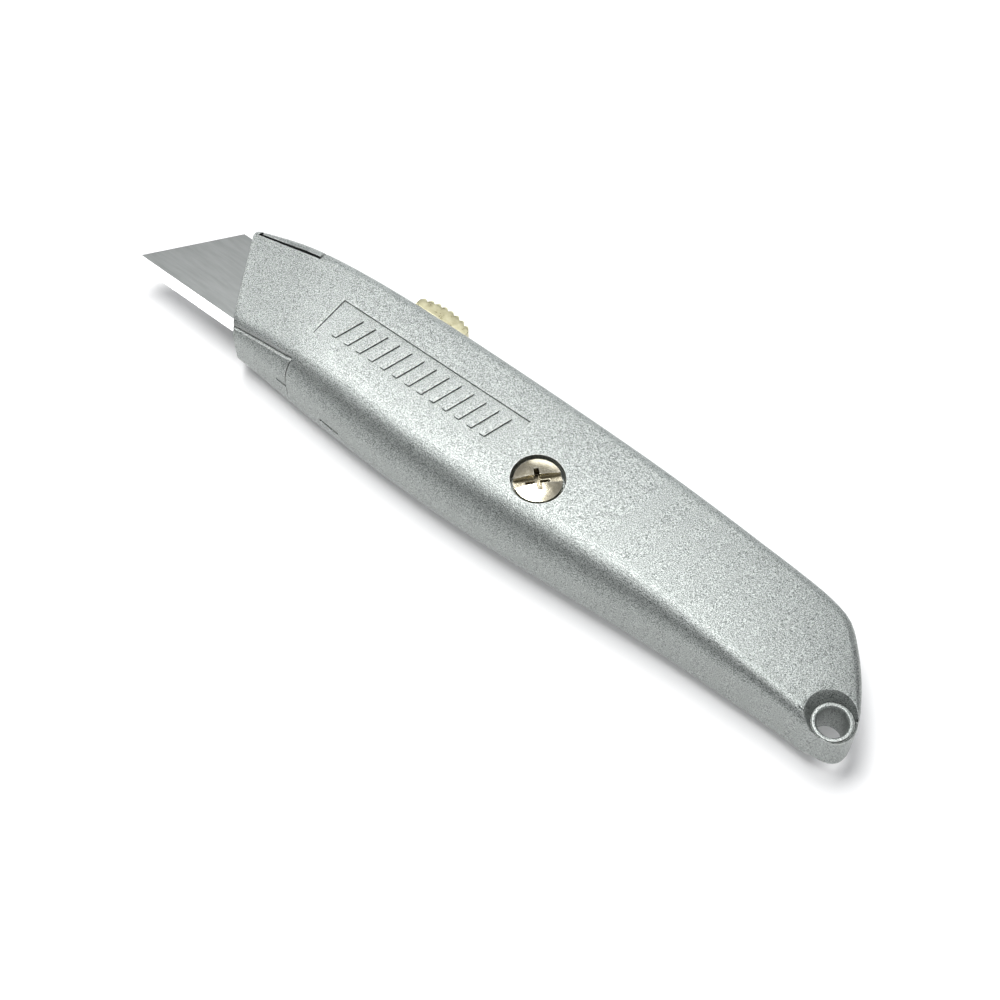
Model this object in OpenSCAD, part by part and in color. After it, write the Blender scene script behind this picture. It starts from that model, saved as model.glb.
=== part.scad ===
// Retractable utility knife: two die-cast handle halves clamped by one screw round a
// sliding blade carrier with a sprung thumb button, and a stack of spare blades behind.
// X runs from the nose to the tail, Y from the cutting edge up to the spine, Z out of the
// left face. The origin is on the hang-hole axis in the parting plane.

/* [Handle] */
// Handle length, nose corner to tail
body_l = 153; // [130:1:185]
// Handle height, belly to spine
body_h = 29.4; // [26:0.2:36]
// Handle thickness over both halves
body_t = 18.8; // [15:0.2:24]
// Casting wall
wall = 1.6; // [1.2:0.1:2.4]

/* [Hang hole] */
// Hole radius
hang_r = 2.8; // [2:0.1:4]
// Thickness of the rim round the hole
hang_t = 8.72; // [6:0.1:12]

/* [Blade] */
// Length of the cutting edge
blade_l = 61.9; // [50:0.1:65]
// Blade height, edge to back
blade_h = 19; // [15:0.1:19.2]
// Blade thickness
blade_t = 0.63; // [0.4:0.01:1]
// Travel of the carrier from full reach to fully retracted
travel = 31; // [20:0.5:32]

/* [Clamp screw] */
// Shank radius
screw_r = 2; // [1.5:0.1:2.5]
// Head radius
head_r = 4.6; // [3.5:0.1:5.5]

/* [Thumb button] */
// Button length along the spine
button_l = 12.4; // [10:0.2:16]
// Button width across the spine
button_w = 8; // [6:0.2:9]
// Height of the button above the spine
button_rise = 4.7; // [3:0.1:6.5]
// Press stroke of the button
press = 1.2; // [0.8:0.1:1.6]

/* [Fits] */
// Gap between a sliding piece and its guide
slide_gap = 0.2; // [0.1:0.05:0.4]
// Gap round the nose tabs
tab_gap = 0.5; // [0.3:0.05:0.7]
// Gap round the shank in the threaded bore
bore_gap = 0.06; // [0.02:0.01:0.1]

/* [Hidden] */
$fn = 64;
spares = 5;
mark_d = 0.45;
tab_end_share = 0.4;
kx = body_l / 153;
ky = body_h / 29.4;
kz = body_t / 18.8;
hang_x = 152.5 * kx;
hang_y = -8.6 * ky;
half_t = body_t / 2;
floor_t = half_t - wall;
// the halves part a little to the right of the blade's plane
seam_z = -1.8 * kz;

// rib stations of the handle: spine point, belly point, half thickness, corner radii
RIBS = [
    [[0, 6.9], [10, -13.0], 6.2, 1.8, 4.0],
    [[6, 8.6], [16, -13.5], 7.0, 1.9, 4.4],
    [[12, 10.1], [22, -13.7], 7.9, 2.0, 5.0],
    [[18, 11.0], [28, -14.2], 8.8, 2.1, 5.8],
    [[26, 11.8], [34, -14.7], 9.3, 2.2, 6.4],
    [[36, 12.5], [42, -15.3], 9.4, 2.3, 6.9],
    [[50, 13.0], [54, -16.0], 9.4, 2.4, 7.2],
    [[66, 13.1], [68, -16.2], 9.4, 2.4, 7.4],
    [[82, 13.0], [82, -15.8], 9.4, 2.4, 7.4],
    [[98, 12.7], [96, -14.8], 9.4, 2.4, 7.0],
    [[112, 12.2], [110, -13.6], 9.1, 2.4, 6.0],
    [[124, 11.6], [122, -12.8], 8.6, 2.3, 4.8],
    [[133, 11.2], [132, -12.5], 8.0, 2.2, 3.6],
    [[139.5, 10.6], [140, -12.3], 7.4, 2.0, 2.8],
    [[144.6, 9.1], [146, -12.4], 6.9, 1.9, 2.3],
    [[148.8, 5.2], [150.7, -12.6], 6.5, 1.8, 2.0],
    [[152.4, 0.7], [154.3, -12.2], 6.1, 1.6, 1.8],
    [[155.4, -4.1], [156.5, -10.7], 5.7, 1.5, 1.6],
    [[156.8, -7.4], [157.0, -8.7], 5.6, 1.4, 1.5]
];
SUB = 3;

// smooth curve through a list of points or numbers
function at(list, i) = list[max(0, min(len(list) - 1, i))];
function curve(list, u) =
    let(
        i = floor(u), t = u - i,
        a = at(list, i - 1), b = at(list, i), c = at(list, i + 1), d = at(list, i + 2)
    )
    0.5 * (2 * b + (c - a) * t + (2 * a - 5 * b + 4 * c - d) * t * t + (3 * b - a - 3 * c + d) * t * t * t);
SPINE = [for (r = RIBS) [r[0][0] * kx, r[0][1] * ky]];
BELLY = [for (r = RIBS) [r[1][0] * kx, r[1][1] * ky]];
THICK = [for (r = RIBS) r[2] * kz];
R_SP = [for (r = RIBS) r[3]];
R_BE = [for (r = RIBS) r[4] * min(ky, kz)];
function unit(v) = v / norm(v);
function tang(list, u) = unit(curve(list, min(len(list) - 1, u + 0.05)) - curve(list, max(0, u - 0.05)));

// one cross rib of the handle, inset evenly, as points from the spine seam round to the belly seam
function section(u, inset, low, ns, nb) =
    let(
        s = curve(SPINE, u), b = curve(BELLY, u), t = min(half_t, curve(THICK, u)) - inset,
        rs = max(0.3, curve(R_SP, u) - inset), rb = max(0.3, curve(R_BE, u) - inset),
        ts = tang(SPINE, u), tb = tang(BELLY, u), n_s = [-ts[1], ts[0]], n_b = [tb[1], -tb[0]]
    )
    concat(
        [[s[0] - n_s[0] * inset, s[1] - n_s[1] * inset, low]],
        [for (k = [0:ns]) let(a = 90 * k / ns, o = inset + rs * (1 - cos(a)))
            [s[0] - n_s[0] * o, s[1] - n_s[1] * o, t - rs + rs * sin(a)]],
        [for (k = [0:nb]) let(a = 90 - 90 * k / nb, o = inset + rb * (1 - cos(a)))
            [b[0] - n_b[0] * o, b[1] - n_b[1] * o, t - rb + rb * sin(a)]],
        [[b[0] - n_b[0] * inset, b[1] - n_b[1] * inset, low]]
    );

// upper half of the handle form, from the parting plane (or a little below it) to the face
module half_form(inset, low, u0, u1, ns, nb, sub) {
    n = round((u1 - u0) * sub);
    secs = [for (k = [0:n]) section(u0 + (u1 - u0) * k / n, inset, low, ns, nb)];
    m = len(secs[0]);
    pts = [for (s = secs) each s];
    faces = concat(
        [for (k = [0:n - 1]) for (j = [0:m - 2]) [(k + 1) * m + j + 1, k * m + j + 1, k * m + j]],
        [for (k = [0:n - 1]) for (j = [0:m - 2]) [(k + 1) * m + j, (k + 1) * m + j + 1, k * m + j]],
        [for (k = [0:n - 1]) [(k + 1) * m, k * m, k * m + m - 1]],
        [for (k = [0:n - 1]) [(k + 1) * m + m - 1, (k + 1) * m, k * m + m - 1]],
        [for (j = [0:(m / 2) - 2]) [m - 1 - j, j, j + 1]],
        [for (j = [0:(m / 2) - 2]) [m - 2 - j, m - 1 - j, j + 1]],
        [for (j = [0:(m / 2) - 2]) [n * m + m - 1 - j, n * m + j + 1, n * m + j]],
        [for (j = [0:(m / 2) - 2]) [n * m + m - 1 - j, n * m + m - 2 - j, n * m + j + 1]]
    );
    polyhedron(points = pts, faces = faces, convexity = 8);
}

// design frame has its zero at the nose; every node is carried to the hang hole
module place() {
    translate([-hang_x, -hang_y, 0]) children();
}

// outline with its corners rounded, from points and one radius each
function fillet(a, p, b, r) =
    r <= 0 ? [p] :
    let(
        u = unit(a - p), v = unit(b - p), h = acos(u * v) / 2, c = p + unit(u + v) * r / sin(h),
        p1 = p + u * r / tan(h) - c, p2 = p + v * r / tan(h) - c, a1 = atan2(p1[1], p1[0]),
        d0 = atan2(p2[1], p2[0]) - a1,
        d = d0 > 180 ? d0 - 360 : d0 < -180 ? d0 + 360 : d0
    )
    [for (k = [0:8]) c + r * [cos(a1 + d * k / 8), sin(a1 + d * k / 8)]];
function rounded(p, r) =
    let(n = len(p))
    [for (i = [0:n - 1]) each fillet(p[(i + n - 1) % n], p[i], p[(i + 1) % n], r[i])];

// named places in the design frame
screw_x = 84 * kx;
screw_y = -4.3 * ky;
seat_z = half_t - 3.3;
bore_r = head_r + 0.58;
edge_y = -10.85;
back_y = edge_y + blade_h;
tip_x = 9 * kx - 24.4;
sheet = 0.95;
plate_z = -blade_t / 2;
spine_in = 13.1 * ky - wall;
btn_x = tip_x + blade_l - 1.5;
btn_low = spine_in - 1.4;
shelf_y = btn_low - press - 0.1;
neck_l = button_l - 2.6;
neck_w = 4.2;
rivet_x = btn_x + button_l / 2 + 5.2;
post_top = spine_in + 0.5;
lug_x = tip_x + blade_l / 2 - 5;
lug_r = 1.5;
ring_r = hang_r + 0.9;
store_x = screw_x - 4.3;
store_y = 8.2 * ky;
store_z = -2;
stack_z = store_z - spares * (blade_t + 0.01);

// plan outline that trims the slanted nose, moved back by a distance
module nose_plan(back) {
    translate([back, 0])
        polygon(rounded(
            [
                [3 * kx, 8 * ky], [14.5 * kx, -11.3 * ky], [16.4 * kx, -14 * ky], [42 * kx, -17.6 * ky],
                [200 * kx, -60], [200 * kx, 60], [30 * kx, 16.2 * ky]
            ],
            [2.2, 3, 1.6, 0, 0, 0, 0]
        ));
}

// outer form of a half above its seam, trimmed to the nose
module half_skin(low, last) {
    intersection() {
        half_form(0, low, 0, last, 5, 9, SUB);
        translate([0, 0, low - 1]) linear_extrude(half_t - low + 2) nose_plan(0);
    }
}

// hollow half of the handle, standing on its seam
module half_shell(low) {
    difference() {
        half_skin(low, len(RIBS) - 1);
        difference() {
            intersection() {
                half_form(wall, low - 1, 0, len(RIBS) - 3, 3, 5, 2);
                translate([0, 0, low - 2]) linear_extrude(half_t - low + 3) nose_plan(2.6);
            }
            translate([hang_x, hang_y, -10]) cylinder(r = ring_r + 2.4, h = 30);
        }
    }
}

// material round the hang hole cut down to a raised rim inside a cone
module ring_cut() {
    translate([hang_x, hang_y, 0]) {
        translate([0, 0, -9]) cylinder(r = hang_r, h = 30);
        translate([0, 0, hang_t / 2 - 0.35]) cylinder(r1 = hang_r, r2 = hang_r + 0.7, h = 0.7);
        translate([0, 0, hang_t / 2]) cylinder(r = ring_r, h = 10);
        translate([0, 0, hang_t / 2 - 0.3]) difference() {
            cylinder(r1 = ring_r + 0.2, r2 = ring_r + 2.4, h = 3.9);
            translate([0, 0, -1]) cylinder(r = ring_r, h = 12);
        }
    }
}

// thickness-wise slot for the thumb button neck
module button_slot(low, high) {
    translate([btn_x - neck_l / 2 - 0.4, spine_in - 1, low])
        cube([neck_l + travel + 0.8, 4, high - low]);
}

// thin space the blade slides through at the nose
module blade_slot(low, high) {
    translate([0, edge_y - 0.3, low]) cube([18 * kx, blade_h + 0.4, high - low]);
}

// belly and spine tabs of the right half that close over the nose of the left half
module belly_tab(gap) {
    end = gap * tab_end_share;
    difference() {
        translate([0, 0, seam_z - (gap > 0 ? 1 : 0)]) linear_extrude(9.4 * kz - seam_z)
            polygon([
                [8 * kx, -11.75 * ky + gap],
                [17 * kx, -11.85 * ky + gap],
                [30.3 * kx + end, -11.5 * ky + gap],
                [29.9 * kx + end, -20 * ky],
                [8 * kx, -20 * ky]
            ]);
        translate([16.4 * kx, -30, 5.3 * kz + gap])
            rotate([0, -8.6, 0])
                translate([-20, 0, 0])
                    cube([60, 60, 20]);
    }
}
module spine_tab(gap) {
    translate([0, 0, seam_z - (gap > 0 ? 1 : 0)]) linear_extrude(half_t - seam_z + 2)
        polygon([
            [5.6 * kx - gap, 7.1 * ky - gap],
            [19.3 * kx + gap, 9.1 * ky - gap],
            [18.9 * kx + gap, 16 * ky],
            [5.2 * kx - gap, 16 * ky]
        ]);
}
module tabs() {
    difference() {
        intersection() {
            half_skin(seam_z, 6);
            union() {
                belly_tab(0);
                spine_tab(0);
            }
        }
        blade_slot(-blade_t / 2 - slide_gap, blade_t / 2 + slide_gap);
        translate([lug_x - lug_r - slide_gap, 0, seam_z - 1]) cube([20, back_y + 0.3, 1 - seam_z]);
        translate([27.4 * kx, -17 * ky, 0.4]) cube([3, 3 * ky, 0.8]);
    }
}

// sill under the blade at the nose, between the seam and the blade
module nose_sill() {
    translate([0, 0, seam_z]) linear_extrude(-seam_z - blade_t / 2 - slide_gap) difference() {
        intersection() {
            nose_plan(0);
            translate([0, edge_y + 0.2]) square([20 * kx, blade_h - 0.8]);
        }
        nose_plan(2.6);
    }
}

// shallow marking field: a recess crossed by plain slanted bars
module face_field() {
    translate([52.8 * kx, -0.4 * ky, half_t - mark_d]) rotate([0, 0, 0.7]) difference() {
        translate([-22.6, -4.7, 0]) cube([45.2, 9.4, 2]);
        for (i = [-6:6])
            translate([i * 3, 0, -1]) linear_extrude(4)
                polygon([[-1.5, -3.1], [-0.4, -3.1], [1.5, 3.1], [0.4, 3.1]]);
    }
}

// left half: the visible face, with the screw seat, the blade rails and the stack keepers
module left_casing() {
    color("silver") place() difference() {
        union() {
            half_shell(seam_z);
            intersection() {
                half_form(0.5, seam_z - 1.5, 1, len(RIBS) - 4, 3, 5, 1);
                union() {
                    translate([screw_x, screw_y, seam_z]) cylinder(r = 4.2, h = half_t);
                    translate([screw_x, screw_y, seat_z - 1.8]) cylinder(r = bore_r + 1.4, h = 5.1);
                    for (y = [-6.4, 2.2])
                        translate([14 * kx, y, blade_t / 2 + slide_gap]) cube([24 * kx, 1.2, floor_t]);
                    for (x = [98, 124])
                        translate([x * kx, -7 * ky, store_z + 0.5])
                            cube([1.4, 12 * ky, half_t - store_z - 1.5]);
                }
            }
        }
        translate([screw_x, screw_y, -5]) cylinder(r = screw_r + 0.25, h = 20);
        translate([screw_x, screw_y, seat_z]) cylinder(r = bore_r, h = 20);
        ring_cut();
        button_slot(seam_z - 1, neck_w / 2 + slide_gap);
        blade_slot(seam_z - 1, blade_t / 2 + slide_gap);
        belly_tab(tab_gap);
        spine_tab(tab_gap);
        face_field();
        translate([39.2 * kx, -18 * ky, seam_z - 1]) cube([5, 3.4 * ky, 1.8]);
    }
}

// right half: the threaded boss, the carrier guide, the detents and the two nose tabs
module right_casing() {
    color("darkgray") place() union() {
        mirror([0, 0, 1]) difference() {
            union() {
                half_shell(-seam_z);
                intersection() {
                    half_form(0.5, -seam_z, 1, len(RIBS) - 4, 3, 5, 1);
                    union() {
                        translate([screw_x, screw_y, -seam_z]) cylinder(r = 3.6, h = half_t);
                        for (y = [-7.2, 3.8])
                            translate([14 * kx, y, sheet - plate_z + 0.1]) cube([64 * kx, 1.2, floor_t - 1]);
                        for (x = [98, 124])
                            translate([x * kx, -7 * ky, -stack_z + 0.1])
                                cube([1.4, 12 * ky, half_t + stack_z - 1.1]);
                        translate([store_x + blade_l / 2 - 5, store_y - blade_h + 1.7, -store_z])
                            cylinder(r = 1.35, h = 6);
                    }
                }
            }
            translate([screw_x, screw_y, -1]) cylinder(r = screw_r + bore_gap, h = 8.4);
            ring_cut();
            button_slot(-1, neck_w / 2 + slide_gap);
            for (s = [0, 0.2, 0.4, 1])
                translate([btn_x + neck_l / 2 - 1.2 + s * travel, spine_in - 1, neck_w / 2])
                    cube([2, 1.9, 1.6]);
        }
        tabs();
        nose_sill();
    }
}

// low domed screw with a slot and a cross, driven into the right half
module clamp_screw() {
    color("goldenrod") place() translate([screw_x, screw_y, 0]) difference() {
        union() {
            translate([0, 0, seat_z]) cylinder(r = head_r, h = 2.8);
            translate([0, 0, half_t - 0.5]) intersection() {
                cylinder(r = head_r, h = 1);
                translate([0, 0, 0.62 - 17.4]) sphere(r = 17.4, $fn = 96);
            }
            translate([0, 0, -6.6]) cylinder(r = screw_r, h = seat_z + 7);
            translate([0, 0, -7.1]) cylinder(r1 = screw_r - 0.5, r2 = screw_r, h = 0.5);
        }
        rotate([0, 0, 48]) {
            translate([-10, -0.95, half_t - 1.5]) cube([20, 1.9, 4]);
            for (a = [0, 90])
                rotate([0, 0, a]) translate([-2.3, -0.5, half_t - 2.3]) cube([4.6, 1, 4]);
        }
    }
}

// trapezoid blade with two notches in its back; the ground edge runs along Y = 0
module blade_form() {
    slope = blade_h * 0.7526;
    difference() {
        intersection() {
            rotate([90, 0, 90]) linear_extrude(blade_l)
                polygon([
                    [0, -0.02], [2.1, -blade_t / 2], [blade_h, -blade_t / 2],
                    [blade_h, blade_t / 2], [2.1, blade_t / 2], [0, 0.02]
                ]);
            translate([0, 0, -2]) linear_extrude(4)
                polygon([[0, 0], [blade_l, 0], [blade_l - slope, blade_h], [slope, blade_h]]);
        }
        for (x = [-5, 5])
            translate([blade_l / 2 + x, blade_h - 1.7, -2]) {
                cylinder(r = 1.6, h = 4);
                translate([-1.6, 0, 0]) cube([3.2, 4, 4]);
            }
    }
}
module blade() {
    color("lightsteelblue") place() translate([tip_x, edge_y, 0]) blade_form();
}
module spare_blade(i) {
    color("lightsteelblue") place()
        translate([store_x, store_y, store_z - blade_t / 2 - i * (blade_t + 0.01)])
            mirror([0, 1, 0]) blade_form();
}
module spare_blade_1() spare_blade(0);
module spare_blade_2() spare_blade(1);
module spare_blade_3() spare_blade(2);
module spare_blade_4() spare_blade(3);
module spare_blade_5() spare_blade(4);

// pressed-steel carrier: plate with bent lips, two lugs for the blade, a shelf and a post
module blade_carrier() {
    rear_x = tip_x + blade_l - 0.4;
    color("slategray") place() difference() {
        union() {
            translate([0, 0, plate_z - sheet]) linear_extrude(sheet)
                polygon([
                    [lug_x - 1.75, 6.2], [rivet_x - 18, 6.2],
                    [rivet_x - 16, shelf_y - 0.4], [rivet_x + 2.4, shelf_y - 0.4],
                    [rivet_x + 2.4, shelf_y - 4.4], [rear_x, 1], [rear_x, -8.4], [lug_x + 7.25, -8.4]
                ]);
            for (y = [-8.4, 5.2])
                translate([lug_x + 8.45, y, plate_z - sheet - 2])
                    cube([rear_x - lug_x - 8.45, y > 0 ? 1 : 0.8, 2.5]);
            translate([rivet_x - 16, shelf_y - 0.8, -1.9]) cube([18.4, 0.8, 3.8]);
            translate([btn_x - 1.8, shelf_y - 0.4, -1.2]) cube([3.6, post_top + 0.4 - shelf_y, 2.4]);
            for (x = [0, 10])
                translate([lug_x + x, back_y - 1.7, plate_z - sheet])
                    cylinder(r = lug_r, h = sheet + blade_t - 0.08);
        }
        translate([rivet_x, shelf_y - 2, 0]) rotate([-90, 0, 0]) cylinder(r = 0.8, h = 4);
        translate([rivet_x, shelf_y - 2.6, 0]) rotate([-90, 0, 0]) cylinder(r = 1.6, h = 1.8);
    }
}

// leaf spring under the button, windowed round the carrier post
module button_spring() {
    y0 = shelf_y;
    y1 = btn_low - 0.3;
    low = [
        [rivet_x + 2.2, y0], [rivet_x - 2.6, y0],
        [btn_x + 3, y1 - 0.12], [btn_x, y1], [btn_x - 3, y1 - 0.12], [rivet_x - 15.6, y0]
    ];
    high = [for (i = [len(low) - 1:-1:0]) low[i] + [0, 0.3]];
    color("lightgray") place() difference() {
        translate([0, 0, -1.7]) linear_extrude(3.4) polygon(concat(low, high));
        translate([btn_x - 2.2, y0 - 1, -1.35]) cube([4.4, 4, 2.7]);
        translate([rivet_x, y0 - 1, 0]) rotate([-90, 0, 0]) cylinder(r = 0.8, h = 4);
    }
}
module spring_rivet() {
    color("gray") place() translate([rivet_x, shelf_y, 0]) rotate([-90, 0, 0]) {
        translate([0, 0, -1.2]) cylinder(r = 0.8, h = 1.6);
        translate([0, 0, 0.3]) cylinder(r1 = 1.4, r2 = 0.9, h = 0.5);
        translate([0, 0, -1.25]) cylinder(r1 = 0.9, r2 = 1.3, h = 0.45);
    }
}

// thumb button: saw-tooth crown, neck through the spine slot, flange and detent tooth inside
module thumb_button() {
    crown_y = 13.1 * ky + press + 0.4;
    top_y = 13.1 * ky + button_rise;
    arch = 15;
    n = 8;
    pitch = button_l / n;
    function arch_y(x) = top_y - arch + sqrt(arch * arch - x * x);
    teeth = [for (i = [0:n - 1]) let(a = -button_l / 2 + i * pitch) each [
        [a + 0.02, arch_y(a) - 0.5],
        [a + 0.35 * pitch, arch_y(a + 0.35 * pitch)],
        [a + 0.62 * pitch, arch_y(a + 0.62 * pitch)]
    ]];
    color("khaki") place() translate([btn_x, 0, 0]) difference() {
        union() {
            translate([0, 0, -button_w / 2]) linear_extrude(button_w)
                polygon(concat(teeth, [
                    [button_l / 2, arch_y(button_l / 2) - 0.5],
                    [button_l / 2, crown_y],
                    [-button_l / 2, crown_y]
                ]));
            translate([-neck_l / 2, btn_low, -neck_w / 2]) cube([neck_l, crown_y - btn_low + 0.5, neck_w]);
            translate([-neck_l / 2, btn_low, -3.3]) cube([neck_l, 0.6, 6.6]);
            translate([neck_l / 2 - 1, btn_low, -3.3]) cube([1, spine_in - 0.35 - btn_low, 1.15]);
        }
        translate([-2, btn_low - 1, -1.4]) cube([4, post_top + press + 1.3 - btn_low, 2.8]);
    }
}

left_casing();
right_casing();
clamp_screw();
blade_carrier();
thumb_button();
button_spring();
spring_rivet();
blade();
spare_blade_1();
spare_blade_2();
spare_blade_3();
spare_blade_4();
spare_blade_5();
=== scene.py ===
# %% [markdown]
# # Finishing a retractable utility knife
#
# The knife is two die-cast halves held by one screw, with a blade that slides out of the nose on a
# pressed steel carrier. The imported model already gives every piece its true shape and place, so this
# lesson does what comes after: it softens the edges as casting and stamping do, remakes the pieces that
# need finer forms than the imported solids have, and builds the paint, plating and ground steel.
#
# Lengths are in metres. MM turns the maker's millimetres into them.

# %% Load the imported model
import math

import bmesh
import bpy
from mathutils import Matrix, Vector


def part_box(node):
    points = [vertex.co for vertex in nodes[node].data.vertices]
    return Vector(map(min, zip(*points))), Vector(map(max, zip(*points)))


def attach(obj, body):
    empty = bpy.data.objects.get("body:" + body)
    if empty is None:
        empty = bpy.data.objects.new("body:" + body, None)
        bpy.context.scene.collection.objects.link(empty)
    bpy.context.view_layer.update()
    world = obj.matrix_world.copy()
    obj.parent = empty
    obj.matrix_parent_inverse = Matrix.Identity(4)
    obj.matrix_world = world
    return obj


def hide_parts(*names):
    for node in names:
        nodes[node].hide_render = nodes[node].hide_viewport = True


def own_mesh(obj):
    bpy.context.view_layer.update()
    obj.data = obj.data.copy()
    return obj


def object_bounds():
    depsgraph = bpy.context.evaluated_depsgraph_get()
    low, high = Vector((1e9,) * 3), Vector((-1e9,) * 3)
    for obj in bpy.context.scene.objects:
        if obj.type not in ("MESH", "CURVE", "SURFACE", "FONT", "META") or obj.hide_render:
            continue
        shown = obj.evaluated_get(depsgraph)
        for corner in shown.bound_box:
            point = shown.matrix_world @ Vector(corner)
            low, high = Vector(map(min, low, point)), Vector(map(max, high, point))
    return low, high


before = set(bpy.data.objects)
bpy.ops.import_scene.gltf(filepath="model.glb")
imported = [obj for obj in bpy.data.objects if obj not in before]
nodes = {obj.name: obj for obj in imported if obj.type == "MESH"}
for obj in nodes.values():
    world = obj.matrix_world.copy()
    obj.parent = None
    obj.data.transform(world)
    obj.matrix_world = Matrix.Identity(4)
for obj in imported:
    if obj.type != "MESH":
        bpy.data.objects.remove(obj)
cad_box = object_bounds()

MM = 0.001
print("nodes:", ", ".join(sorted(nodes)))
print("CAD box, mm:", [[round(v / MM, 2) for v in corner] for corner in cad_box])

# %% [markdown]
# ## Where the camera and the lamps stand
#
# The knife lies on its right side with the nose up and to the left of the view. A long lens from a little
# over a third of a metre keeps the handle's sides nearly parallel. The camera's turn is built from its
# own three axes, because an azimuth, an elevation and a small roll say more to a photographer than
# three Euler angles do.

# %% Camera
CAMERA_AZIMUTH = math.radians(38.07)
CAMERA_ELEVATION = math.radians(60.52)
CAMERA_ROLL = math.radians(0.434)
CAMERA_PLACE = Vector((0.035842, -0.140172, 0.316387))
SENSOR_WIDTH = 36.0
FOCAL_LENGTH = 69.64
NEAREST_SEEN = 0.01


def camera_axes(azimuth, elevation, roll):
    """The camera's right, up and back axes."""
    back = Vector((
        math.sin(azimuth) * math.cos(elevation),
        -math.cos(azimuth) * math.cos(elevation),
        math.sin(elevation),
    ))
    level_right = Vector((math.cos(azimuth), math.sin(azimuth), 0))
    level_up = back.cross(level_right)
    right = level_right * math.cos(roll) + level_up * math.sin(roll)
    return right, back.cross(right), back


def add_camera():
    lens = bpy.data.cameras.new("studio_camera")
    lens.sensor_width = SENSOR_WIDTH
    lens.lens = FOCAL_LENGTH
    lens.clip_start = NEAREST_SEEN
    camera = bpy.data.objects.new("studio_camera", lens)
    bpy.context.scene.collection.objects.link(camera)
    axes = camera_axes(CAMERA_AZIMUTH, CAMERA_ELEVATION, CAMERA_ROLL)
    camera.matrix_world = Matrix.Translation(CAMERA_PLACE) @ Matrix(axes).transposed().to_4x4()
    bpy.context.scene.camera = camera
    return camera


camera = add_camera()
print("camera stands", round(CAMERA_PLACE.length, 3), "m from the hang hole")

# %% [markdown]
# ## Floor and lamps
#
# A metallic paint shows its surroundings more than its own colour, so the lamps are what shape it. One
# wide soft lamp hangs overhead and a little towards the nose: its reflection lies along the rounded
# lower edge of the handle. The room is left dim low in front, which draws the dark band under that
# highlight, and the pale floor fills the belly wall from below.

# %% Floor
KNIFE_MIDDLE = Vector((-0.07, 0.0, 0.0))
FLOOR_SIZE = 3.0
FLOOR_TONE = (0.80, 0.80, 0.80, 1)
FLOOR_ROUGHNESS = 0.9
FLOOR_SHEEN = 0.2
FLOOR_GLOW = 0.15


def add_floor(level):
    """A wide sheet of white paper under the knife, glowing a little so that it stays white."""
    bm = bmesh.new()
    bmesh.ops.create_grid(bm, x_segments=1, y_segments=1, size=FLOOR_SIZE / 2)
    bmesh.ops.translate(bm, verts=bm.verts, vec=KNIFE_MIDDLE + Vector((0, 0, level)))
    mesh = bpy.data.meshes.new("floor")
    bm.to_mesh(mesh)
    bm.free()
    floor = bpy.data.objects.new("floor", mesh)
    bpy.context.scene.collection.objects.link(floor)
    paper = bpy.data.materials.new("floor_paper")
    paper.use_nodes = True
    shader = paper.node_tree.nodes["Principled BSDF"]
    shader.inputs["Base Color"].default_value = FLOOR_TONE
    shader.inputs["Roughness"].default_value = FLOOR_ROUGHNESS
    shader.inputs["Specular IOR Level"].default_value = FLOOR_SHEEN
    shader.inputs["Emission Color"].default_value = (1, 1, 1, 1)
    shader.inputs["Emission Strength"].default_value = FLOOR_GLOW
    mesh.materials.append(paper)
    return floor


floor = add_floor(cad_box[0].z)
print("floor level, mm:", round(cad_box[0].z / MM, 2))

# %% Lamps
DAYLIGHT = (0.96, 0.98, 1.0)
ROOM_TONE = (0.93, 0.95, 1.0, 1)
ROOM_STRENGTH = 0.22


def add_lamp(name, direction, distance, size, power, tint=(1, 1, 1)):
    """A rectangular soft lamp that looks at the middle of the knife from a direction."""
    light = bpy.data.lights.new(name, "AREA")
    light.shape = "RECTANGLE"
    light.size, light.size_y = size
    light.energy = power
    light.color = tint
    lamp = bpy.data.objects.new(name, light)
    bpy.context.scene.collection.objects.link(lamp)
    away = Vector(direction).normalized()
    lamp.matrix_world = (
        Matrix.Translation(KNIFE_MIDDLE + away * distance)
        @ away.to_track_quat("Z", "Y").to_matrix().to_4x4()
    )
    return lamp


def dim_the_room():
    """A dim, slightly blue world, seen in plain tones."""
    world = bpy.data.worlds.new("dim_room")
    world.use_nodes = True
    background = world.node_tree.nodes["Background"]
    background.inputs["Color"].default_value = ROOM_TONE
    background.inputs["Strength"].default_value = ROOM_STRENGTH
    bpy.context.scene.world = world
    bpy.context.scene.view_settings.view_transform = "Standard"


add_lamp("overhead_softbox", (-0.23, 0.00, 0.95), 0.9, (0.54, 0.36), 9.6)
add_lamp("back_fill", (-0.30, 0.92, 0.42), 1.2, (1.0, 0.6), 4.5, DAYLIGHT)
add_lamp("right_fill", (0.95, -0.30, 0.60), 1.2, (0.5, 0.5), 1.6)
dim_the_room()

# %% [markdown]
# ## Small helpers for shader trees
#
# Every finish below is a node tree on Object coordinates, so the grain stays fixed to the metal when a
# piece slides or lifts. A few helpers keep the trees readable: they add a node with its settings, join
# two sockets, do sums, mix two colours, and lay a bump on a shader.

# %% Shader helpers
MIX_FACTOR, MIX_FIRST, MIX_SECOND, MIX_RESULT = 0, 6, 7, 2


def add_node(tree, kind, values=None, **settings):
    """A shader node with its properties and the constants on its input sockets."""
    made = tree.nodes.new(kind)
    for key, value in settings.items():
        setattr(made, key, value)
    for key, value in (values or {}).items():
        made.inputs[key].default_value = value
    return made


def join(tree, source, target):
    """Joins an output socket to an input socket."""
    tree.links.new(source, target)


def feed(tree, value, target):
    """Gives an input socket either another socket's value or a constant."""
    if hasattr(value, "links"):
        join(tree, value, target)
    else:
        target.default_value = value


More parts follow.
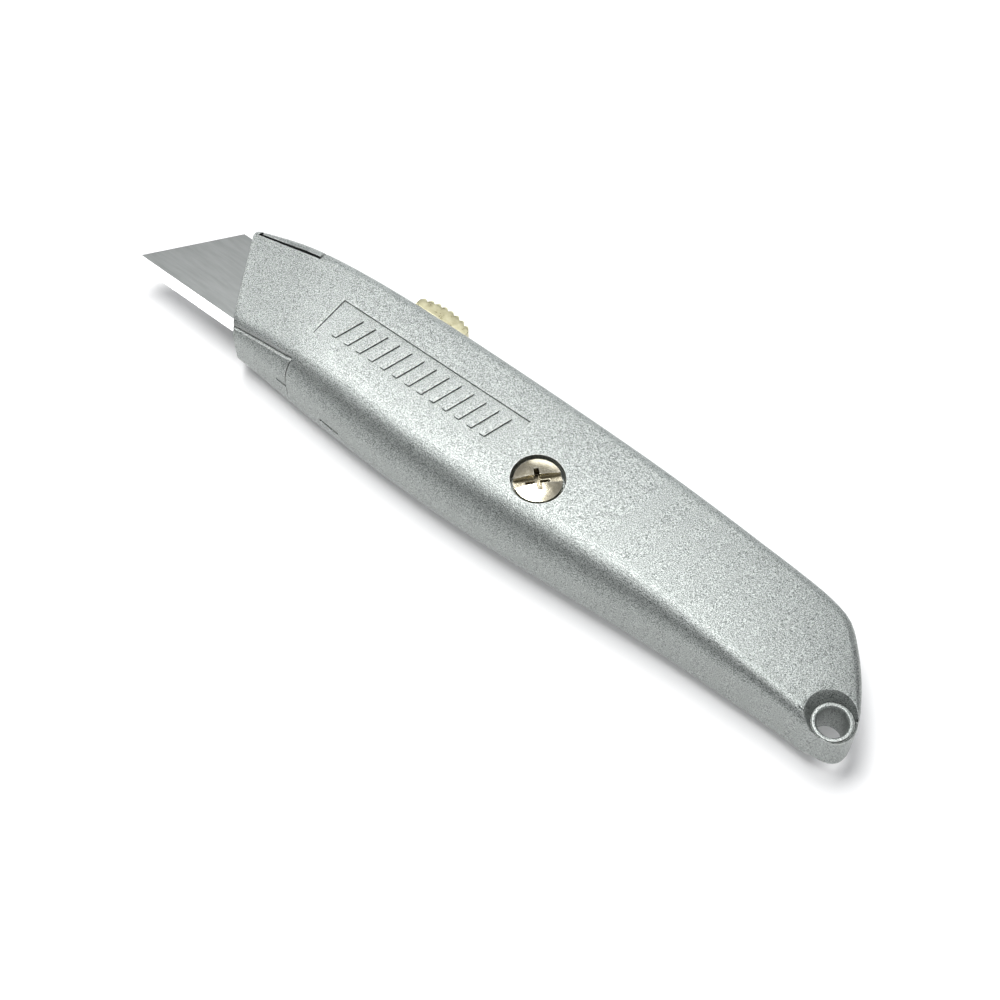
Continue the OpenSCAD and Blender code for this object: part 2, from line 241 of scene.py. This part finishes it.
def new_group(name, inputs, outputs):
    """A shader node group; inputs are (name, socket type, default), outputs plain names of numbers."""
    tree = bpy.data.node_groups.new(name, "ShaderNodeTree")
    for label, kind, default in inputs:
        socket = tree.interface.new_socket(label, in_out="INPUT", socket_type=kind)
        if default is not None:
            socket.default_value = default
    for label in outputs:
        tree.interface.new_socket(label, in_out="OUTPUT", socket_type="NodeSocketFloat")
    return tree, tree.nodes.new("NodeGroupInput"), tree.nodes.new("NodeGroupOutput")


def new_finish(name):
    """An empty material with its shader, and its Object coordinates."""
    material = bpy.data.materials.new(name)
    material.use_nodes = True
    tree = material.node_tree
    coords = add_node(tree, "ShaderNodeTexCoord")
    return material, tree, tree.nodes["Principled BSDF"], coords.outputs["Object"]


def math_node(tree, operation, *terms):
    """A Math node; its terms are sockets or numbers."""
    made = add_node(tree, "ShaderNodeMath", operation=operation)
    for term, target in zip(terms, made.inputs):
        feed(tree, term, target)
    return made.outputs[0]


def mix_colour(tree, factor, a, b):
    """A colour mix; factor, a and b are sockets or constants."""
    made = add_node(tree, "ShaderNodeMix", data_type="RGBA")
    for index, value in ((MIX_FACTOR, factor), (MIX_FIRST, a), (MIX_SECOND, b)):
        feed(tree, value, made.inputs[index])
    return made.outputs[MIX_RESULT]


def mix_share(tree, mask, share, a, b):
    """Mixes b into a where a mask is, up to a share of it."""
    return mix_colour(tree, math_node(tree, "MULTIPLY", mask, share), a, b)


def lay_bump(tree, shader, height, strength, distance, under=None):
    """Feeds a height into the shader's normal, over another bump where there is one."""
    bump = add_node(tree, "ShaderNodeBump", {"Strength": strength, "Distance": distance})
    join(tree, height, bump.inputs["Height"])
    if under is not None:
        join(tree, under, bump.inputs["Normal"])
    join(tree, bump.outputs["Normal"], shader.inputs["Normal"])


print("shader helpers ready")

# %% [markdown]
# ## Shared effects
#
# Three effects are used by more than one finish, so each is a node group.
#
# * **flake_grain**: the fine sandy skin of a sprayed metallic paint. A fine noise, stretched to hard
#   light and dark, stands for single flakes, and a broader one for the orange peel under them.
# * **brushed_grain**: long scratches in one direction, as on ground or drawn steel. It is a noise with
#   one axis stretched.
# * **corner shade and wear**: two masks from ambient occlusion. Corners and recesses get painted shade,
#   and the same test turned inwards finds the outer edges that hands rub bright.

# %% Group: flake grain
FLAKES_PER_METRE = 5600.0
FLAKE_RANGE = {"From Min": 0.36, "From Max": 0.64}
PEEL_SHARE = 0.35


def build_flake_grain():
    """Fleck is each flake's tone; Height adds the orange peel to it."""
    tree, ins, outs = new_group(
        "flake_grain",
        [("Vector", "NodeSocketVector", None),
         ("Flakes per metre", "NodeSocketFloat", FLAKES_PER_METRE)],
        ["Fleck", "Height"],
    )
    flakes = add_node(tree, "ShaderNodeTexNoise", {"Detail": 2.0, "Roughness": 0.7})
    join(tree, ins.outputs["Vector"], flakes.inputs["Vector"])
    join(tree, ins.outputs["Flakes per metre"], flakes.inputs["Scale"])
    fleck = add_node(tree, "ShaderNodeMapRange", FLAKE_RANGE)
    join(tree, flakes.outputs[0], fleck.inputs["Value"])
    peel = add_node(tree, "ShaderNodeTexNoise", {"Detail": 1.0})
    join(tree, ins.outputs["Vector"], peel.inputs["Vector"])
    peel_scale = math_node(tree, "MULTIPLY", ins.outputs["Flakes per metre"], PEEL_SHARE)
    join(tree, peel_scale, peel.inputs["Scale"])
    join(tree, fleck.outputs["Result"], outs.inputs["Fleck"])
    height = math_node(tree, "ADD", fleck.outputs["Result"], peel.outputs[0])
    join(tree, height, outs.inputs["Height"])
    return tree


flake_grain = build_flake_grain()
print("group:", flake_grain.name, len(flake_grain.nodes), "nodes")

# %% Group: brushed grain
DRAWN_STRETCH = (60.0, 3000.0, 3000.0)


def build_brushed_grain():
    """Line is the tone of the scratch; Stretch says how many lie in a metre along each axis."""
    tree, ins, outs = new_group(
        "brushed_grain",
        [("Vector", "NodeSocketVector", None), ("Stretch", "NodeSocketVector", DRAWN_STRETCH)],
        ["Line"],
    )
    scaled = add_node(tree, "ShaderNodeVectorMath", operation="MULTIPLY")
    join(tree, ins.outputs["Vector"], scaled.inputs[0])
    join(tree, ins.outputs["Stretch"], scaled.inputs[1])
    lines = add_node(tree, "ShaderNodeTexNoise", {"Scale": 1.0, "Detail": 4.0, "Roughness": 0.65})
    join(tree, scaled.outputs[0], lines.inputs["Vector"])
    join(tree, lines.outputs[0], outs.inputs["Line"])
    return tree


brushed_grain = build_brushed_grain()
print("group:", brushed_grain.name, len(brushed_grain.nodes), "nodes")

# %% Group: painted corner shade and wear
CORNER_SHADE_RANGE = {"From Min": 0.72, "From Max": 0.34}
WEAR_RANGE = {"From Min": 0.90, "From Max": 0.55}
WEAR_REACH = 0.3


def build_corner_shade_and_wear():
    """Corner shade is 1 deep in a corner and is painted shade; Wear is 1 on a sharp outer edge; Reach is
    how far they look.
    """
    tree, ins, outs = new_group(
        "corner_shade_and_wear",
        [("Reach", "NodeSocketFloat", 1.2 * MM)],
        ["Grime", "Wear"],
    )
    # Painted shade: ambient occlusion darkens corners, creases and recesses.
    corner = add_node(tree, "ShaderNodeAmbientOcclusion", samples=6, only_local=True)
    join(tree, ins.outputs["Reach"], corner.inputs["Distance"])
    corner_shade = add_node(tree, "ShaderNodeMapRange", CORNER_SHADE_RANGE)
    join(tree, corner.outputs["AO"], corner_shade.inputs["Value"])
    join(tree, corner_shade.outputs["Result"], outs.inputs["Grime"])
    edge = add_node(tree, "ShaderNodeAmbientOcclusion", samples=6, inside=True, only_local=True)
    edge_reach = math_node(tree, "MULTIPLY", ins.outputs["Reach"], WEAR_REACH)
    join(tree, edge_reach, edge.inputs["Distance"])
    wear = add_node(tree, "ShaderNodeMapRange", WEAR_RANGE)
    join(tree, edge.outputs["AO"], wear.inputs["Value"])
    join(tree, wear.outputs["Result"], outs.inputs["Wear"])
    return tree


corner_shade_and_wear = build_corner_shade_and_wear()
print("group:", corner_shade_and_wear.name, len(corner_shade_and_wear.nodes), "nodes")


def use_group(tree, group, vector=None, **values):
    """Places a shared group in a material with its own values."""
    made = add_node(tree, "ShaderNodeGroup", node_tree=group)
    if vector is not None:
        join(tree, vector, made.inputs["Vector"])
    for label, value in values.items():
        made.inputs[label.replace("_", " ")].default_value = value
    return made


# %% [markdown]
# ## The paint on the two halves
#
# The halves are zinc castings sprayed with a silver metallic paint that dries to a fine sandy skin. Up
# close it is thousands of flakes lying at slightly different angles, some catching the lamp and some
# not. A plain noise in the colour would look like dirt, so the flakes go into three things at once: a
# small change of tone, of roughness, and a shallow bump that tips each flake.
#
# The broad faces of such a casting are never dead flat: they are crowned by some tenths of a millimetre
# from spine to belly. The outline hardly shows it and a reflection does, so a second and very wide bump,
# a parabola across the handle, gives the face its slow change of tone.

# %% Finish: cast paint
PAINT_LIGHT = (0.55, 0.58, 0.56, 1)
PAINT_DARK = (0.07, 0.08, 0.075, 1)
PAINT_BARE = (0.62, 0.63, 0.61, 1)
# The corner tone below is painted shade, laid where ambient occlusion finds corners and recesses.
PAINT_CORNER_SHADE = (0.05, 0.053, 0.05, 1)
PAINT_METALLIC = 0.85
PAINT_ROUGHNESS = 0.30
FLAKE_ROUGHNESS = 0.16
WEAR_SHARE = 0.35
CORNER_SHADE_SHARE = 0.75
FLAKE_BUMP = (0.8, 0.03 * MM)
CROWN_MIDDLE = 10.0 * MM
CROWN_CURVE = 3.0


def crown_normal(tree, coords):
    """The normal of a shallow parabola across the handle."""
    across = add_node(tree, "ShaderNodeSeparateXYZ")
    join(tree, coords, across.inputs["Vector"])
    from_middle = math_node(tree, "SUBTRACT", across.outputs["Y"], CROWN_MIDDLE)
    squared = math_node(tree, "MULTIPLY", from_middle, from_middle)
    crown = add_node(tree, "ShaderNodeBump", {"Strength": 1.0, "Distance": 1.0})
    join(tree, math_node(tree, "MULTIPLY", squared, -CROWN_CURVE), crown.inputs["Height"])
    return crown.outputs["Normal"]


def make_cast_paint():
    """The sprayed paint: flakes, rubbed edges, painted shade in the corners and the crown of the face."""
    material, tree, shader, coords = new_finish("silver_sand_paint")
    grain = use_group(tree, flake_grain, coords)
    edges = use_group(tree, corner_shade_and_wear)
    flaked = mix_colour(tree, grain.outputs["Fleck"], PAINT_DARK, PAINT_LIGHT)
    rubbed = mix_share(tree, edges.outputs["Wear"], WEAR_SHARE, flaked, PAINT_BARE)
    # Painted shade: corners and recesses are darkened towards a near black tone.
    shaded = mix_share(tree, edges.outputs["Grime"], CORNER_SHADE_SHARE, rubbed, PAINT_CORNER_SHADE)
    join(tree, shaded, shader.inputs["Base Color"])
    fleck = grain.outputs["Fleck"]
    sheen = math_node(tree, "MULTIPLY_ADD", fleck, FLAKE_ROUGHNESS, PAINT_ROUGHNESS)
    join(tree, sheen, shader.inputs["Roughness"])
    shader.inputs["Metallic"].default_value = PAINT_METALLIC
    lay_bump(tree, shader, grain.outputs["Height"], *FLAKE_BUMP, under=crown_normal(tree, coords))
    return material


cast_paint = make_cast_paint()
print("finish:", cast_paint.name)

# %% [markdown]
# ## Inside the nose joint
#
# Two tabs of the right half close over the nose, with a narrow gap round them. The walls of that gap get
# a matt, nearly black finish of their own: painted shade, standing for the shadow down in the gap. The
# wall faces of the imported mesh are found by where they are and by facing sideways; only their material
# number changes.

# %% Finish: painted shade in the nose joint
BELLY_JOINT_BOX = ((-145, -4.5, -2.0), (-119, -2.2, 9.0))
SPINE_JOINT_BOX = ((-149, 13.5, -2.0), (-131, 18.0, 9.0))
JOINT_TILT = 0.35
# Painted shade: these nearly black tones stand for the shadow down in the nose gap.
GAP_SHADE_DARK = (0.006, 0.006, 0.006, 1)
GAP_SHADE_LIGHT = (0.022, 0.021, 0.020, 1)


def make_joint_gap_shade():
    """Matt, nearly black painted shade for the walls of the nose gap."""
    material, tree, shader, coords = new_finish("joint_gap_shade")
    gap_grain = use_group(tree, flake_grain, coords)
    tone = mix_colour(tree, gap_grain.outputs["Fleck"], GAP_SHADE_DARK, GAP_SHADE_LIGHT)
    join(tree, tone, shader.inputs["Base Color"])
    shader.inputs["Roughness"].default_value = 0.95
    shader.inputs["Specular IOR Level"].default_value = 0.1
    return material


joint_gap_shade = make_joint_gap_shade()


def in_box(point, box):
    """Whether a point in millimetres is in a box of two corners."""
    low, high = box
    return all(low[axis] < point[axis] < high[axis] for axis in range(3))


def darken_joint(piece):
    """Gives the side walls of the nose gap the painted shade."""
    piece.data.materials.append(joint_gap_shade)
    count = 0
    for face in piece.data.polygons:
        middle = face.center / MM
        near = in_box(middle, BELLY_JOINT_BOX) or in_box(middle, SPINE_JOINT_BOX)
        if near and abs(face.normal.z) < JOINT_TILT:
            face.material_index = 1
            count += 1
    print(count, "wall faces of", piece.name, "lie in the nose joint")


print("finish:", joint_gap_shade.name)

# %% [markdown]
# ## Metals inside and out
#
# The other pieces are bare or plated metal: the screw is steel under yellow zinc, the button is steel
# with a thin brassy plate, and the carrier and the spring are strip steel straight from the press. They
# differ in tint, in how sharp their reflections are, and in which way the scratches run, so one function
# makes them all. The blades come after them.

# %% Finish: plated and pressed metals
SHADE_TONE_SHARE = 0.2
LINE_ROUGHNESS = 0.2
METAL_WEAR = 0.5
SCRATCH_STRENGTH = 0.4
PLATE_FLECKS_PER_METRE = 5200.0


def make_metal(name, light, dark, roughness, stretch, depth=0.01 * MM, corner_shade=0.6, flecks=0.0,
               reach=0.8 * MM):
    """Metal with directional scratches, painted shade in its corners and bright rubbed edges."""
    material, tree, shader, coords = new_finish(name)
    grain = use_group(tree, brushed_grain, coords, Stretch=stretch)
    edges = use_group(tree, corner_shade_and_wear, Reach=reach)
    tone = mix_colour(tree, grain.outputs["Line"], dark, light)
    if flecks:
        specks = use_group(tree, flake_grain, coords, Flakes_per_metre=PLATE_FLECKS_PER_METRE)
        tone = mix_share(tree, specks.outputs["Fleck"], flecks, tone, dark)
    tone = mix_share(tree, edges.outputs["Wear"], METAL_WEAR, tone, light)
    # Painted shade: corners and recesses are darkened towards a fifth of the dark tone.
    shade_tone = tuple(channel * SHADE_TONE_SHARE for channel in dark[:3]) + (1,)
    tone = mix_share(tree, edges.outputs["Grime"], corner_shade, tone, shade_tone)
    join(tree, tone, shader.inputs["Base Color"])
    line, smoothest = grain.outputs["Line"], roughness - LINE_ROUGHNESS / 2
    sheen = math_node(tree, "MULTIPLY_ADD", line, LINE_ROUGHNESS, smoothest)
    join(tree, sheen, shader.inputs["Roughness"])
    shader.inputs["Metallic"].default_value = 1.0
    lay_bump(tree, shader, line, SCRATCH_STRENGTH, depth)
    return material


yellow_zinc = make_metal(
    "yellow_zinc", (0.96, 0.92, 0.78, 1), (0.60, 0.53, 0.36, 1), 0.22, (1400.0, 1400.0, 1400.0),
    flecks=0.6, corner_shade=0.95, reach=1.8 * MM,
)
brassy_plate = make_metal(
    "brassy_plate", (0.62, 0.60, 0.43, 1), (0.34, 0.31, 0.17, 1), 0.30, (900.0, 900.0, 2600.0),
    corner_shade=0.95,
)
pressed_steel = make_metal(
    "strip_steel", (0.66, 0.67, 0.68, 1), (0.42, 0.43, 0.45, 1), 0.36, (80.0, 2600.0, 2600.0),
)
spring_strip = make_metal(
    "spring_strip", (0.58, 0.60, 0.64, 1), (0.34, 0.36, 0.42, 1), 0.26, (80.0, 2600.0, 3200.0),
    depth=0.006 * MM,
)
print("finishes:", [m.name for m in (yellow_zinc, brassy_plate, pressed_steel, spring_strip)])

# %% [markdown]
# ## The blade steel
#
# A utility blade is ground twice. Its flat sides keep the dull grey of hardened strip, rolled along its
# length, and the narrow bevels along the cutting edge are bright, with fine scratches that run across
# the edge. They are two finishes on one piece, so the bevel faces simply take a second material.

# %% Finishes: blade flat and ground bevel
GROUND_SPREAD = 0.05
GROUND_BUMP = (0.3, 0.005 * MM)


def make_blade_finish(name, dark, light, roughness, stretch):
    """Ground or rolled steel; the scratches run along the axis with the smallest stretch."""
    material, tree, shader, coords = new_finish(name)
    grain = use_group(tree, brushed_grain, coords, Stretch=stretch)
    join(tree, mix_colour(tree, grain.outputs["Line"], dark, light), shader.inputs["Base Color"])
    limits = {"To Min": roughness - GROUND_SPREAD, "To Max": roughness + GROUND_SPREAD}
    rough = add_node(tree, "ShaderNodeMapRange", limits)
    join(tree, grain.outputs["Line"], rough.inputs["Value"])
    join(tree, rough.outputs["Result"], shader.inputs["Roughness"])
    shader.inputs["Metallic"].default_value = 1.0
    lay_bump(tree, shader, grain.outputs["Line"], *GROUND_BUMP)
    return material


blade_flat = make_blade_finish(
    "blade_flat_steel", (0.18, 0.19, 0.185, 1), (0.28, 0.29, 0.285, 1), 0.40, (160.0, 1500.0, 1500.0)
)
blade_bevel = make_blade_finish(
    "blade_ground_bevel", (0.66, 0.66, 0.66, 1), (0.86, 0.86, 0.85, 1), 0.42, (3200.0, 240.0, 240.0)
)
print("finishes:", blade_flat.name, "and", blade_bevel.name)

# %% [markdown]
# ## The two cast halves
#
# The shape of each half is right as packed, so the node stays. What a casting has and a solid model
# lacks is a small radius on every edge, from the die and from the thickness of the paint. A Weld
# modifier joins the loose triangles, a Bevel rounds what is sharper than the smooth skin's own facets,
# and a Weighted Normal keeps the wide faces flat beside those small roundings.

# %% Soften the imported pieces
WELD_REACH = 0.002 * MM
SHARP_ANGLE = math.radians(38.0)
RADIUS_SEGMENTS = 2
FLAT_WEIGHT = 80
CAST_RADIUS = 0.07 * MM
PRESSED_RADIUS = 0.10 * MM


def add_edge_radius(piece, radius, angle):
    """A Bevel modifier on the edges that are sharper than an angle."""
    bevel = piece.modifiers.new("edge_radius", "BEVEL")
    bevel.width = radius
    bevel.segments = RADIUS_SEGMENTS
    bevel.limit_method = "ANGLE"
    bevel.angle_limit = angle
    return bevel


def soften(node, material, radius):
    """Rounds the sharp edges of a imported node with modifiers, and gives it its finish."""
    piece = nodes[node]
    piece.data.materials.clear()
    piece.data.materials.append(material)
    for face in piece.data.polygons:
        face.use_smooth = True
    weld = piece.modifiers.new("join_triangles", "WELD")
    weld.merge_threshold = WELD_REACH
    bevel = add_edge_radius(piece, radius, SHARP_ANGLE)
    bevel.use_clamp_overlap = False
    normals = piece.modifiers.new("flat_faces", "WEIGHTED_NORMAL")
    normals.keep_sharp = True
    normals.weight = FLAT_WEIGHT
    print(node, "softened by", round(radius / MM, 2), "mm,", len(piece.data.polygons), "faces before")
    return piece


for half in ("left_casing", "right_casing"):
    soften(half, cast_paint, CAST_RADIUS)
darken_joint(nodes["left_casing"])
soften("blade_carrier", pressed_steel, PRESSED_RADIUS)
soften("thumb_button", brassy_plate, PRESSED_RADIUS)

# %% [markdown]
# ## From a bmesh to a piece
#
# The pieces below are modelled here. Each one starts as a bmesh, so one helper turns a finished bmesh
# into an object at the origin, joins doubled points, turns its normals outwards, hangs it on the body it
# rides on, hides the imported node it stands for and gives it its finish. Another cuts with a
# plane and closes the cut, which both grinds the blades and takes the shank off the screw.

# %% Helpers: hand a bmesh over as a piece, and pick out what an operator made
POINT_REACH = 0.0005 * MM
CUT_REACH = 0.0001 * MM
CREASE_ANGLE = 35.0


def made_of(geometry, kind):
    """The items of one kind, such as edges, among the results of a bmesh operator."""
    return [item for item in geometry if isinstance(item, kind)]


def cut_and_cap(bm, point, outwards):
    """Cuts away what lies outside a plane and closes the cut; gives the new faces."""
    cut = bmesh.ops.bisect_plane(
        bm,
        geom=bm.verts[:] + bm.edges[:] + bm.faces[:],
        dist=CUT_REACH,
        plane_co=point,
        plane_no=outwards,
        clear_outer=True,
    )
    rim = made_of(cut["geom_cut"], bmesh.types.BMEdge)
    return bmesh.ops.edgenet_fill(bm, edges=rim)["faces"]


def add_piece(name, bm, body, materials, stands_for, smooth_angle=CREASE_ANGLE):
    """Turns a finished bmesh into a piece on its body."""
    bmesh.ops.remove_doubles(bm, verts=bm.verts, dist=POINT_REACH)
    bmesh.ops.recalc_face_normals(bm, faces=bm.faces)
    for face in bm.faces:
        face.smooth = True
    for edge in bm.edges:
        if len(edge.link_faces) == 2 and edge.calc_face_angle() > math.radians(smooth_angle):
            edge.smooth = False
    mesh = bpy.data.meshes.new(name)
    bm.to_mesh(mesh)
    bm.free()
    for material in materials:
        mesh.materials.append(material)
    piece = bpy.data.objects.new(name, mesh)
    bpy.context.scene.collection.objects.link(piece)
    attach(piece, body)
    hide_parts(*stands_for)
    print(name, "rides on", body, "with", len(mesh.polygons), "faces")
    return piece


print("piece helpers ready")

# %% [markdown]
# ## The trapezoid blades
#
# A utility blade is a stamped trapezoid of strip steel, ground to an edge along its long side, with two
# notches in its back that the carrier's lugs hold. It could be drawn as a wedge-shaped extrusion, but
# grinding is closer to how it is made: extrude the flat outline, then cut the two bevels off with a
# plane through the edge, first the wide one and then a steeper, narrow one at the very edge.

# %% Blade outline and grinding
BLADE_SLOPE = 0.7526
NOTCH_RADIUS = 1.6 * MM
NOTCH_DEPTH = 1.7 * MM
NOTCH_SPREAD = 5.0 * MM
NOTCH_STEPS = 8
EDGE_HALF = 0.004 * MM
WIDE_EDGE_HALF = 0.024 * MM
WIDE_GRIND = 2.1 * MM
NARROW_GRIND = 0.45 * MM
NARROW_HALF = 0.085 * MM
BLADE_CREASE = 3.0


def blade_outline(length, height):
    """Corners of the flat blank, with the edge along Y = 0 and the two notches in its back."""
    points = [(0, 0), (length, 0), (length - BLADE_SLOPE * height, height)]
    for centre in (length / 2 + NOTCH_SPREAD, length / 2 - NOTCH_SPREAD):
        points.append((centre + NOTCH_RADIUS, height))
        for step in range(NOTCH_STEPS + 1):
            turn = math.pi * step / NOTCH_STEPS
            points.append((
                centre + NOTCH_RADIUS * math.cos(turn),
                height - NOTCH_DEPTH - NOTCH_RADIUS * math.sin(turn),
            ))
        points.append((centre - NOTCH_RADIUS, height))
    points.append((BLADE_SLOPE * height, height))
    return points


def grind(bm, width, half_left, half_at_edge):
    """Cuts one bevel off each side, from half_at_edge at the edge line to half_left at its width."""
    for side in (1, -1):
        outwards = Vector((0, half_at_edge - half_left, side * width)).normalized()
        for face in cut_and_cap(bm, (0, 0, side * half_at_edge), outwards):
            face.material_index = 1


def make_blade(node, body, flip):
    """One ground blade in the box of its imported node; flip turns the cutting edge up."""
    low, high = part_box(node)
    length, height, half = high.x - low.x, high.y - low.y, (high.z - low.z) / 2
    bm = bmesh.new()
    corners = [bm.verts.new((x, y, -half)) for x, y in blade_outline(length, height)]
    raised = bmesh.ops.extrude_face_region(bm, geom=[bm.faces.new(corners)])
    top = made_of(raised["geom"], bmesh.types.BMVert)
    bmesh.ops.translate(bm, verts=top, vec=(0, 0, 2 * half))
    bmesh.ops.recalc_face_normals(bm, faces=bm.faces)
    grind(bm, WIDE_GRIND, half, WIDE_EDGE_HALF)
    grind(bm, NARROW_GRIND, NARROW_HALF, EDGE_HALF)
    if flip:
        bmesh.ops.scale(bm, verts=bm.verts, vec=(1, -1, 1))
    edge_line = high.y if flip else low.y
    bmesh.ops.translate(bm, verts=bm.verts, vec=(low.x, edge_line, (low.z + high.z) / 2))
    steel = (blade_flat, blade_bevel)
    return add_piece("ground_" + node, bm, body, steel, (node,), BLADE_CREASE)


make_blade("blade", "carriage", False)
for spare in sorted(n for n in nodes if n.startswith("spare_blade")):
    make_blade(spare, "handle", True)

# %% [markdown]
# ## The clamp screw
#
# A low domed screw with both a straight slot and a cross holds the halves together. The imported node's
# head is right, but its shank is a plain pin that stands in for the thread. So the head is kept: a copy
# of the mesh is merged, and a plane just above the head's seat cuts the shank off it. The core is turned
# with one spin of a profile, and the thread is a second spin of a small triangle that climbs as it turns.

# %% Screw sizes
SCREW_CORE = 1.58 * MM
SCREW_CREST = 1.97 * MM
SCREW_PITCH = 0.7 * MM
SCREW_TURNS = 15
SCREW_POINT = 0.9 * MM
SCREW_CHAMFER = 0.7 * MM
THREAD_START = 0.9 * MM
THREAD_ROOT = 0.05 * MM
THREAD_FLANK = 0.42 * SCREW_PITCH
THREAD_STEPS = 20
CORE_STEPS = 32
CORE_IN_HEAD = 0.2 * MM
screw_low, screw_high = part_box("clamp_screw")
SCREW_AXIS = Vector(((screw_low.x + screw_high.x) / 2, (screw_low.y + screw_high.y) / 2, 0))
HEAD_HEIGHT = 3.4 * MM
SEAT_GAP = 0.05 * MM
HEAD_RADIUS_EDGE = 0.09 * MM
HEAD_SHARP_ANGLE = math.radians(50)
head_under = screw_high.z - HEAD_HEIGHT
print("screw stands at", [round(v / MM, 2) for v in SCREW_AXIS[:2]], "mm")

# %% Screw head, core and thread


def spin_profile(bm, profile, axis_point, axis, steps):
    """Turns an open profile once round an axis; the points are where the profile already lies."""
    line = [bm.verts.new(p) for p in profile]
    edges = [bm.edges.new(pair) for pair in zip(line, line[1:])]
    bmesh.ops.spin(
        bm, geom=line + edges, cent=axis_point, axis=axis, dvec=(0, 0, 0),
        angle=math.tau, steps=steps, use_merge=True, use_duplicate=False,
    )


def make_screw():
    """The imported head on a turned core, with a rolled thread."""
    bm = bmesh.new()
    bm.from_mesh(nodes["clamp_screw"].data)
    bmesh.ops.remove_doubles(bm, verts=bm.verts, dist=2 * POINT_REACH)
    cut_and_cap(bm, (0, 0, head_under + SEAT_GAP), (0, 0, -1))
    top, bottom = head_under + CORE_IN_HEAD, screw_low.z
    core = [(0, top), (SCREW_CORE, top), (SCREW_CORE, bottom + SCREW_CHAMFER)]
    core += [(SCREW_POINT, bottom), (0, bottom)]
    core_points = [SCREW_AXIS + Vector((r, 0, z)) for r, z in core]
    spin_profile(bm, core_points, SCREW_AXIS, (0, 0, 1), CORE_STEPS)
    start, root = bottom + THREAD_START, SCREW_CORE - THREAD_ROOT
    corners = [
        bm.verts.new(SCREW_AXIS + Vector((r, 0, start + z)))
        for r, z in ((root, -THREAD_FLANK), (SCREW_CREST, 0), (root, THREAD_FLANK))
    ]
    tooth = bm.faces.new(corners)
    bmesh.ops.spin(
        bm, geom=[tooth] + tooth.edges[:] + corners, cent=SCREW_AXIS, axis=(0, 0, 1),
        dvec=(0, 0, SCREW_PITCH / THREAD_STEPS), angle=math.tau * SCREW_TURNS,
        steps=SCREW_TURNS * THREAD_STEPS, use_merge=False, use_duplicate=False,
    )
    finish, packed = (yellow_zinc,), ("clamp_screw",)
    piece = add_piece("clamp_screw_turned", bm, "screw", finish, packed)
    add_edge_radius(piece, HEAD_RADIUS_EDGE, HEAD_SHARP_ANGLE)
    return piece


make_screw()

# %% [markdown]
# ## The leaf spring and its rivet
#
# A strip of spring steel is riveted at one end to the carrier's shelf, and bows up under the button. It
# has a window for the post that the button slides on. A grid is the natural start: it is bent along its
# length, the faces of the window are removed, and one extrusion gives the strip its gauge.

# %% Leaf spring
SPRING_GAUGE = 0.3 * MM
SPRING_COLUMNS = 36
SPRING_ROWS = 3
RIVETED_END = 4.8 * MM
WINDOW_HALF_LENGTH = 2.2 * MM
WINDOW_HALF_WIDTH = 1.35 * MM
spring_low, spring_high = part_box("button_spring")
button_low, button_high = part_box("thumb_button")
button_middle = (button_low.x + button_high.x) / 2


def in_window(face):
    """Whether a face of the flat strip lies where the window will be."""
    middle = face.calc_center_median()
    return abs(middle.x - button_middle) < WINDOW_HALF_LENGTH and abs(middle.z) < WINDOW_HALF_WIDTH / 2


def make_spring():
    """The bowed strip with its window."""
    length, width = spring_high.x - spring_low.x, spring_high.z - spring_low.z
    bow = spring_high.y - spring_low.y - SPRING_GAUGE
    flat_end = spring_high.x - RIVETED_END
    rows = (-width / 2, -WINDOW_HALF_WIDTH, WINDOW_HALF_WIDTH, width / 2)
    bm = bmesh.new()
    bmesh.ops.create_grid(bm, x_segments=SPRING_COLUMNS, y_segments=SPRING_ROWS, size=0.5)
    for vert in bm.verts:
        x = spring_low.x + (vert.co.x + 0.5) * length
        row = round((vert.co.y + 0.5) * SPRING_ROWS)
        share = min(1.0, max(0.0, (x - spring_low.x) / (flat_end - spring_low.x)))
        vert.co = (x, spring_low.y + bow * math.sin(math.pi * share), rows[row])
    bmesh.ops.delete(bm, geom=[face for face in bm.faces if in_window(face)], context="FACES")
    strip = bmesh.ops.extrude_face_region(bm, geom=bm.faces[:])
    upper = made_of(strip["geom"], bmesh.types.BMVert)
    bmesh.ops.translate(bm, verts=upper, vec=(0, SPRING_GAUGE, 0))
    finish, packed = (spring_strip,), ("button_spring",)
    piece = add_piece("leaf_spring", bm, "carriage", finish, packed)
    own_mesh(piece)
    return piece


make_spring()

# %% Rivet
RIVET_SHANK = 0.8 * MM
RIVET_DOME = 0.5 * MM
RIVET_DOME_STEPS = 6
RIVET_STEPS = 28
TAIL_RADIUS = 1.25 * MM
TAIL_FOOT = 1.0 * MM
TAIL_THICK = 0.3 * MM
TAIL_NECK = 0.45 * MM


def make_rivet():
    """A domed head above the spring, a shank through shelf and spring, and a set tail."""
    low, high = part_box("spring_rivet")
    centre = Vector(((low.x + high.x) / 2, 0, 0))
    head_radius = (high.x - low.x) / 2
    head_foot = high.y - RIVET_DOME
    profile = [(0, high.y)]
    for step in range(1, RIVET_DOME_STEPS + 1):
        turn = math.pi / 2 * step / RIVET_DOME_STEPS
        profile.append((head_radius * math.sin(turn), head_foot + RIVET_DOME * math.cos(turn)))
    profile += [(RIVET_SHANK, head_foot), (RIVET_SHANK, low.y + TAIL_NECK)]
    profile += [(TAIL_RADIUS, low.y + TAIL_THICK), (TAIL_FOOT, low.y), (0, low.y)]
    points = [centre + Vector((r, y, 0)) for r, y in profile]
    bm = bmesh.new()
    spin_profile(bm, points, centre, (0, 1, 0), RIVET_STEPS)
    finish, packed = (pressed_steel,), ("spring_rivet",)
    return add_piece("spring_rivet_set", bm, "carriage", finish, packed)


make_rivet()
